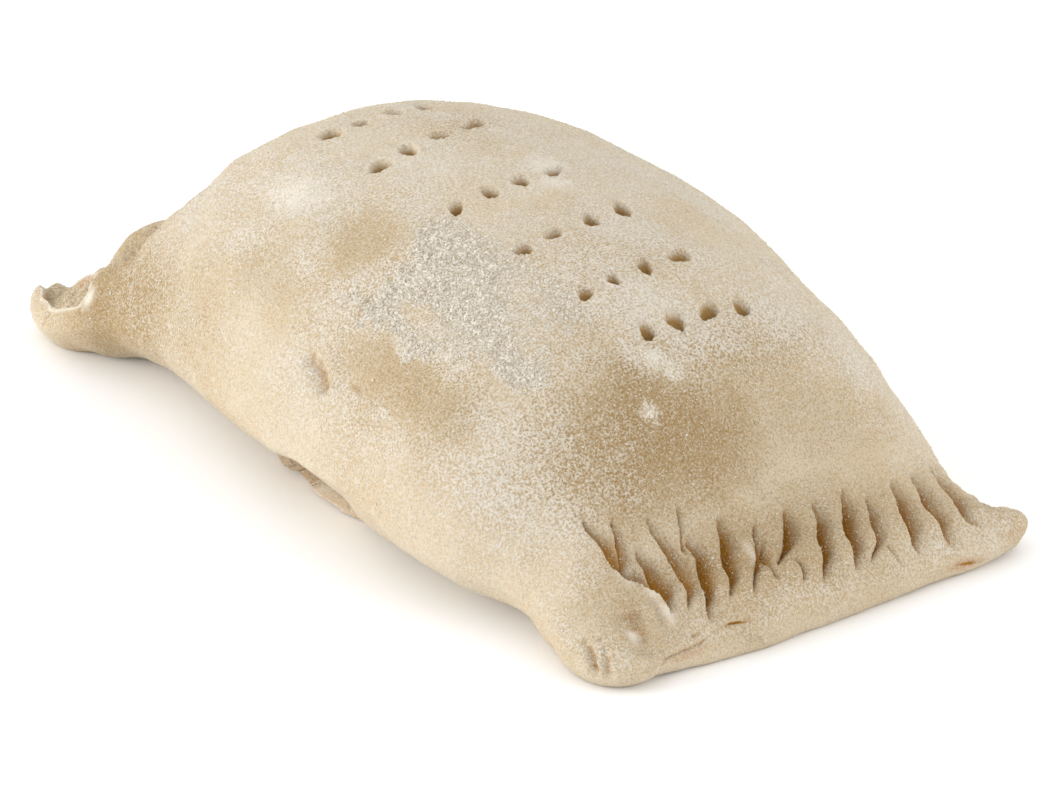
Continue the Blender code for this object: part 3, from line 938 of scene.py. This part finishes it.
tanAndShadeSpots = (
    ((-64.5, -43.5, 15.5), (15, 12, 16), 0.75),
    ((-57, -44, 20), (20, 9, 17), 0.75),
    ((64, -16, 31), (23, 30, 20), 0.86),
    ((68, 12, 28), (14, 28, 14), 0.34),
    ((81, -8, 12), (15, 42, 13), 0.6),
    ((82, 30, 9), (13, 20, 9), 0.3),
    ((58, 8, 38), (11, 28, 13), 0.5),
    ((88, 42, 5), (6, 7, 6), 0.45),
    ((85, -38, 7), (9, 10, 8), 0.45),
    ((89, 0, 6), (6, 46, 6), 0.28),
    ((-40, -46, 22), (20, 9, 16), 0.35),
    ((38, -8, 46), (26, 24, 12), 0.28),
    ((-72, -36, 24), (16, 20, 20), 0.5),
    ((-6, -28, 44), (16, 11, 11), 0.34),
    ((8, -30, 42), (44, 21, 15), 0.3),
    ((28, -42, 35), (32, 11, 14), 0.48),
    ((-79, -43, 9), (11, 5, 6), 0.6),
    ((22, -34.5, 42), (9, 4, 5), 0.3),
    ((-24, 8, 48), (16, 12, 8), 0.25),
    ((-20, -40, 38), (16, 9, 9), 0.3),
)
orangeAndShadeSpots = (
    ((86.8, -36.9, 8.2), (3.0, 1.4, 2.4), 0.2),
    ((86.9, -41.0, 7.6), (1.2, 1.4, 1.6), 0.12),
    ((82.6, -36.0, 9.6), (2.2, 2.0, 2.0), 0.25),
    ((91.6, -29.5, 4.2), (1.6, 4.5, 1.6), 0.35),
    ((91.8, 30.0, 2.8), (1.2, 5.0, 1.2), 0.5),
    ((90.0, 41.5, 5.0), (3.0, 3.0, 1.5), 0.5),
    ((-76.8, -40.4, 13.0), (2.6, 2.0, 2.4), 0.5),
    ((-82.5, -45.6, 8.0), (2.4, 1.6, 2.0), 0.5),
    ((0, -40.5, 1.0), (19, 2.6, 1.8), 0.42),
)
craggy = (
    ((86.0, -38.5, 6.5), (7.0, 8.0, 5.0), 1.0),
    ((79.5, -32.0, 11.5), (6.0, 2.2, 3.5), 0.8),
    ((-81.0, -43.5, 7.0), (7.0, 4.5, 4.0), 0.5),
)


def spots(points, places):
    # how strongly each point lies in any of these places, with uneven edges
    amount = np.zeros(len(points))
    uneven = 0.22 * unevenness(points, 8, 4, 20.0)
    for centre, half, strength in places:
        reach = np.linalg.norm((points - np.array(centre)) / np.array(half), axis=1)
        amount = np.maximum(amount, strength * (1 - ramp(reach + uneven, 0.1, 1.35)))
    return amount


def flourThickness(points, normals):
    # how much flour covers the dough, and how much of it is caked
    x, y, z = points.T
    ragged = unevenness(points, 7, 4)
    fine = unevenness(points, 2.4, 3, 40.0)
    into = intoPatch(x, y, thickFlour) + 1.6 * fine + 1.2 * ragged
    softSide = ramp(y, -24, -12) + ramp(x, 42, 54)
    thick = ramp(into, -0.7 - 4 * softSide, 1.3 + 4 * softSide) * (0.95 - 0.22 * np.clip(softSide, 0, 1))
    for atX, atY, alongX, alongY, amount in thinPatches:
        away = np.hypot((x - atX) / alongX, (y - atY) / alongY)
        thick = thick * (1 - amount * (1 - ramp(away + 0.3 * fine + 0.2 * ragged, 0.3, 1.4)))
    caked = np.clip(thick * 1.6 - 0.7, 0, 1) * (z > 3)
    for atX, atY, alongX, alongY, amount in flourPatches:
        away = np.hypot((x - atX) / alongX, (y - atY) / alongY)
        thick = np.maximum(thick, amount * (1 - ramp(away + 0.3 * fine + 0.3 * ragged, 0.3, 1.45)))
    patchy = 1 + 0.5 * unevenness(points, 16, 3, 90.0) + 0.25 * ragged
    haze = flourHaze * patchy * (0.45 + 0.65 * ramp(normals[:, 2], 0.1, 0.9))
    for atX, atY, alongX, alongY, amount in barePatches:
        away = np.hypot((x - atX) / alongX, (y - atY) / alongY)
        haze = haze * (1 - amount * (1 - ramp(away + 0.15 * ragged, 0.45, 1.3)))
    onTop = z > 3
    haze = haze * ramp(z, 1, 3)
    return np.clip(np.maximum(thick * onTop * (1 + 0.15 * fine), haze), 0, 1), caked


# loose flour: the corners of one grain, how many, its size range, the mask that it follows, how much
# of it lies where that is 0, and how sharply it gathers where that is high
flourKinds = (
    dict(name="flour_specks", corners=3, count=48000, size=(0.18, 0.32), mask="flour", haze=1.0, power=0.5,
         seed=10, light="#E8DDC6", dark="#CFBF9B"),
    dict(name="flour_dust", corners=3, count=48000, size=(0.2, 0.36), mask="flour", haze=0.5, power=1.5,
         seed=11, light="#DED6C4", dark="#C6BA9D"),
    dict(name="flour_grains", corners=4, count=22000, size=(0.28, 0.46), mask="caked", haze=0.03, power=1.2,
         seed=12, light="#D8D1C4", dark="#BDB3A2"),
    dict(name="flour_clumps", corners=0, count=2400, size=(0.4, 0.7), mask="caked", haze=0.0, power=2.0,
         seed=13, light="#DFD9CE", dark="#C4BBAC"),
)


def oneGrain(kind):
    # a rough little solid: a pyramid on three or four corners, or a ball of twenty faces
    if kind["corners"]:
        bpy.ops.mesh.primitive_cone_add(vertices=kind["corners"], radius1=0.5, radius2=0, depth=0.8)
    else:
        bpy.ops.mesh.primitive_ico_sphere_add(subdivisions=1, radius=0.5)
    grain = bpy.context.object
    corners = np.array([v.co for v in grain.data.vertices])
    faces = [tuple(f.vertices) for f in grain.data.polygons]
    bpy.data.objects.remove(grain, do_unlink=True)
    return corners, faces


def randomTurns(draw, count):
    # a turn in any direction for each grain, as a matrix
    q = draw.normal(size=(count, 4))
    a, b, c, d = (q / np.linalg.norm(q, axis=1, keepdims=True)).T
    rows = [
        [1 - 2 * (c * c + d * d), 2 * (b * c - a * d), 2 * (b * d + a * c)],
        [2 * (b * c + a * d), 1 - 2 * (b * b + d * d), 2 * (c * d - a * b)],
        [2 * (b * d - a * c), 2 * (c * d + a * b), 1 - 2 * (b * b + c * c)],
    ]
    return np.moveaxis(np.array(rows), -1, 0)


def scatterFlour(kind, dough):
    # lays one kind of grain on the dough, half sunk in, more of it where its mask is high
    draw = np.random.default_rng(kind["seed"])
    mesh = dough.data
    mesh.calc_loop_triangles()
    corners = np.empty(len(mesh.loop_triangles) * 3, int)
    mesh.loop_triangles.foreach_get("vertices", corners)
    corners = corners.reshape(-1, 3)
    points, normals = readPoints(dough), readNormals(dough)
    flour, pit = np.empty((2, len(points)))
    mesh.attributes[kind["mask"]].data.foreach_get("value", flour)
    mesh.attributes["prick"].data.foreach_get("value", pit)
    a, b, c = (points[corners[:, n]] for n in range(3))
    area = np.linalg.norm(np.cross(b - a, c - a), axis=1) / 2
    height = (a[:, 2] + b[:, 2] + c[:, 2]) / 3
    facing = normals[corners].mean(axis=1)[:, 2]
    thick = flour[corners].mean(axis=1)
    inHole = pit[corners].max(axis=1)
    chance = area * (kind["haze"] + thick ** kind["power"]) * ramp(facing, -0.5, 0.5)
    chance = chance * (height > 1) * (inHole < 0.1)
    picked = draw.choice(len(corners), size=kind["count"], p=chance / chance.sum())
    u, v = draw.random((2, kind["count"]))
    flip = u + v > 1
    u, v = np.where(flip, 1 - u, u), np.where(flip, 1 - v, v)
    shares = np.stack([1 - u - v, u, v], axis=1)[:, :, None]
    place = (points[corners[picked]] * shares).sum(axis=1)
    upwards = (normals[corners[picked]] * shares).sum(axis=1)
    low, high = kind["size"]
    size = low + (high - low) * draw.random(kind["count"]) ** 2
    place = place + upwards * (size * draw.uniform(-0.36, 0.04, kind["count"]))[:, None]
    grain, faces = oneGrain(kind)
    squash = draw.uniform(0.7, 1.3, (kind["count"], 3)) * size[:, None]
    turned = np.einsum("nij,nkj->nki", randomTurns(draw, kind["count"]), grain[None] * squash[:, None])
    everything = ((turned + place[:, None]).reshape(-1, 3) - middle) * mm
    steps = np.arange(kind["count"]) * len(grain)
    allFaces = [tuple(step + corner for corner in face) for step in steps.tolist() for face in faces]
    body = bpy.data.meshes.new(kind["name"])
    body.from_pydata(everything.tolist(), [], allFaces)
    scattered = bpy.data.objects.new(kind["name"], body)
    bpy.context.scene.collection.objects.link(scattered)
    print(kind["name"] + ":", kind["count"], "grains")
    return scattered


def colour(hexText):
    # sRGB hex to the linear colour that shaders take
    channels = [int(hexText[n:n + 2], 16) / 255 for n in (1, 3, 5)]
    linear = [c / 12.92 if c <= 0.04045 else ((c + 0.055) / 1.055) ** 2.4 for c in channels]
    return (*linear, 1.0)


def newMaterial(name, surface):
    # a material whose Principled shader has these values
    material = bpy.data.materials.new(name)
    material.use_nodes = True
    shader = material.node_tree.nodes["Principled BSDF"]
    for socket, value in surface.items():
        shader.inputs[socket].default_value = value
    return material, material.node_tree, shader


def addNode(tree, kind, inputs, **settings):
    # adds a node, sets its options, and sets or links its inputs
    node = tree.nodes.new(kind)
    for name, value in settings.items():
        setattr(node, name, value)
    for name, value in inputs.items():
        if isinstance(value, bpy.types.NodeSocket):
            tree.links.new(value, node.inputs[name])
        else:
            node.inputs[name].default_value = value
    return node


doughLook = dict(
    bare="#CABDA6",  # cold butter dough, pale yellow
    warm="#C2B094",
    # tan is partly the dough's own tan and partly painted shade on sides turned from the key light
    tanAndShade="#957C54",
    # orange is partly the dough's own orange and partly painted shade in hollows, cracks and under the
    # belly
    orange="#A06628",
    # crease and prick are painted shade, darker brown as the mask deepens
    crease="#9A6B22",
    prick="#977746",
    grit="#8C7146",  # the darker flecks in it
    # the two darker flour tones: dough seen between the flour's specks and caked granules, with painted
    # shade in those gaps
    flouredShade="#BCB19F",
    floured="#CFC8BD",
    cakedLight="#D4CDC1",
    gapShade="#978C78",  # between the caked flour's granules
    edge="#DFD8CB",
    patch=16.0,  # millimetres across its paler and warmer patches
    clot=1.3,  # across the dusting's clots
    speck=0.42,  # and across the specks in them, coarser than flour so that they show
    surface={
        "Roughness": 0.85,
        "IOR": 1.45,
        "Specular IOR Level": 0.2,
        "Subsurface Weight": 0.2,  # fat and starch let some light in under the surface
        "Subsurface Radius": (1.0, 0.65, 0.4),
        "Subsurface Scale": 1.2 * mm,
    },
)


# raw laminated dough: matt and slightly translucent, pale yellow where bare, dusted all over,
# with painted shade in its creases, pricks, marks and hollows and on sides turned from the key light
def rawDough():
    material, tree, shader = newMaterial("raw dough", doughLook["surface"])
    place = addNode(tree, "ShaderNodeTexCoord", {}).outputs["Object"]
    masks = {}
    for name in ("flour", "caked", "crease", "prick", "edge", "tanAndShade", "orange"):
        masks[name] = addNode(tree, "ShaderNodeAttribute", {}, attribute_name=name).outputs["Fac"]
    for name, detail, roughness in (("patch", 3.0, 0.5), ("clot", 2.0, 0.5), ("speck", 1.0, 0.6)):
        size = {"Vector": place, "Scale": 1 / (doughLook[name] * mm)}
        masks[name] = addNode(
            tree, "ShaderNodeTexNoise", size | {"Detail": detail, "Roughness": roughness}
        ).outputs[0]
    # shares that follow a mask: which one, from where to where in it, and the share there
    shares = {}
    for name, source, low, high, start, end in (
        ("warmth", "patch", 0.35, 0.65, 0.0, 1.0),
        ("gritty", "speck", 0.34, 0.52, 1.0, 0.0),
        ("grittier", "tanAndShade", 0.0, 1.0, 0.25, 0.9),
        ("density", "flour", 0.1, 0.7, 0.42, 1.0),  # a thin dusting lets the dough through
        ("fleck", "speck", 0.41, 0.65, 0.0, 1.0),
    ):
        span = {"From Min": low, "From Max": high, "To Min": start, "To Max": end}
        shares[name] = addNode(tree, "ShaderNodeMapRange", {"Value": masks[source]} | span).outputs[0]
    # bare dough: paler and warmer by place, tanned and orange where those masks say, partly painted shade,
    # and gritty in the tanned places
    tone = addNode(
        tree, "ShaderNodeMix",
        {0: shares["warmth"], 6: colour(doughLook["warm"]), 7: colour(doughLook["bare"])}, data_type="RGBA",
    ).outputs[2]
    for name in ("tanAndShade", "orange"):
        tone = addNode(
            tree, "ShaderNodeMix", {0: masks[name], 6: tone, 7: colour(doughLook[name])}, data_type="RGBA"
        ).outputs[2]
    gritty = addNode(
        tree, "ShaderNodeMath", {0: shares["gritty"], 1: shares["grittier"]}, operation="MULTIPLY"
    ).outputs[0]
    tone = addNode(
        tree, "ShaderNodeMix", {0: gritty, 6: tone, 7: colour(doughLook["grit"])}, data_type="RGBA"
    ).outputs[2]
    # flour covers it speck by speck, more where it lies thicker
    clumped = addNode(
        tree, "ShaderNodeMath", {0: masks["clot"], 1: 0.45, 2: masks["speck"]}, operation="MULTIPLY_ADD"
    ).outputs[0]
    laid = addNode(
        tree, "ShaderNodeMath", {0: masks["flour"], 1: 0.42, 2: clumped}, operation="MULTIPLY_ADD"
    ).outputs[0]
    cover = addNode(
        tree, "ShaderNodeMapRange", {"Value": laid, "From Min": 0.76, "From Max": 1.1},
        interpolation_type="SMOOTHSTEP",
    ).outputs[0]
    seen = addNode(
        tree, "ShaderNodeMath", {0: cover, 1: shares["density"]}, operation="MULTIPLY"
    ).outputs[0]
    # the flour itself: darker between its specks, and more so where it is caked, partly the dough seen
    # between them and partly painted shade
    powder = {}
    for name, thin, caked in (("dark", "flouredShade", "gapShade"), ("light", "floured", "cakedLight")):
        powder[name] = addNode(
            tree, "ShaderNodeMix",
            {0: masks["caked"], 6: colour(doughLook[thin]), 7: colour(doughLook[caked])}, data_type="RGBA",
        ).outputs[2]
    flour = addNode(
        tree, "ShaderNodeMix", {0: shares["fleck"], 6: powder["dark"], 7: powder["light"]}, data_type="RGBA"
    ).outputs[2]
    tone = addNode(tree, "ShaderNodeMix", {0: seen, 6: tone, 7: flour}, data_type="RGBA").outputs[2]
    tone = addNode(
        tree, "ShaderNodeMix", {0: masks["edge"], 6: tone, 7: colour(doughLook["edge"])}, data_type="RGBA"
    ).outputs[2]
    # painted shade: creases, pricks and pressed marks turn darker brown with their depth
    for name, pale, full in (("crease", 0.05, 0.5), ("prick", 0.01, 0.36)):
        depth = addNode(
            tree, "ShaderNodeMapRange", {"Value": masks[name], "From Min": pale, "From Max": full},
            interpolation_type="SMOOTHSTEP",
        ).outputs[0]
        tone = addNode(
            tree, "ShaderNodeMix", {0: depth, 6: tone, 7: colour(doughLook[name])}, data_type="RGBA"
        ).outputs[2]
    tree.links.new(tone, shader.inputs["Base Color"])
    # relief of the flour's cover, its specks and its clots: how strong, and how high in millimetres
    relief = {}
    for source, strength, height in (
        (cover, 0.3, 0.1), (masks["speck"], 0.6, 0.3), (masks["clot"], 0.5, 0.5),
    ):
        bump = {"Height": source, "Strength": strength, "Distance": height * mm}
        relief["Normal"] = addNode(tree, "ShaderNodeBump", bump | relief).outputs[0]
    tree.links.new(relief["Normal"], shader.inputs["Normal"])
    return material


flourLook = dict(
    patch=1.2,  # millimetres across its lighter and darker places
    surface={"Roughness": 1.0, "Specular IOR Level": 0.0},
)


# milled wheat flour: dull white with a cream tinge, no shine at all; the finest lets the dough's
# colour through
def wheatFlour(kind):
    material, tree, shader = newMaterial(kind["name"].replace("_", " "), flourLook["surface"])
    place = addNode(tree, "ShaderNodeTexCoord", {}).outputs["Object"]
    patchy = addNode(
        tree, "ShaderNodeTexNoise", {"Vector": place, "Scale": 1 / (flourLook["patch"] * mm), "Detail": 1.0}
    ).outputs[0]
    share = addNode(
        tree, "ShaderNodeMapRange", {"Value": patchy, "From Min": 0.3, "From Max": 0.7}
    ).outputs[0]
    tone = addNode(
        tree, "ShaderNodeMix",
        {0: share, 6: colour(kind["dark"]), 7: colour(kind["light"])}, data_type="RGBA",
    ).outputs[2]
    tree.links.new(tone, shader.inputs["Base Color"])
    return material


# soft white surroundings, a key light low on the left and a weaker one on the right, in metres
studio = dict(
    floor="#FCFCFC",
    floorSize=6.0,
    worldStrength=1.05,
    keyPower=9.6,
    keySize=0.8,
    keyPlace=(-0.48, -1.1, 0.3),
    fillPower=4.5,
    fillSize=1.2,
    fillPlace=(1.0, 0.5, 0.45),
)


def addSoftbox(name, place, size, power):
    # a round soft light that faces the parcel
    bpy.ops.object.light_add(type="AREA", location=place)
    box = bpy.context.object
    box.name = name
    box.data.shape = "DISK"
    box.data.size = size
    box.data.energy = power
    box.rotation_euler = Vector(place).to_track_quat("Z", "Y").to_euler()


def setUpStudio():
    bpy.ops.mesh.primitive_plane_add(size=studio["floorSize"])
    floor = bpy.context.object
    floor.name = "floor"
    card = {"Base Color": colour(studio["floor"]), "Roughness": 0.9, "Specular IOR Level": 0.1}
    useMaterial(floor, newMaterial("pale card", card)[0])
    world = bpy.data.worlds.new("soft white")
    world.use_nodes = True
    background = world.node_tree.nodes["Background"]
    background.inputs["Color"].default_value = (1, 1, 1, 1)
    background.inputs["Strength"].default_value = studio["worldStrength"]
    bpy.context.scene.world = world
    addSoftbox("key light", studio["keyPlace"], studio["keySize"], studio["keyPower"])
    addSoftbox("fill light", studio["fillPlace"], studio["fillSize"], studio["fillPower"])
    bpy.context.scene.view_settings.view_transform = "Standard"


print("camera")
placeCamera()
print("dough")
dough = makeDough()
useMaterial(dough, rawDough())
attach(dough, "root")
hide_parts("turnover")
print("flour")
for flourKind in flourKinds:
    flourPiece = scatterFlour(flourKind, dough)
    useMaterial(flourPiece, wheatFlour(flourKind))
    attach(flourPiece, "root")
print("studio")
setUpStudio()
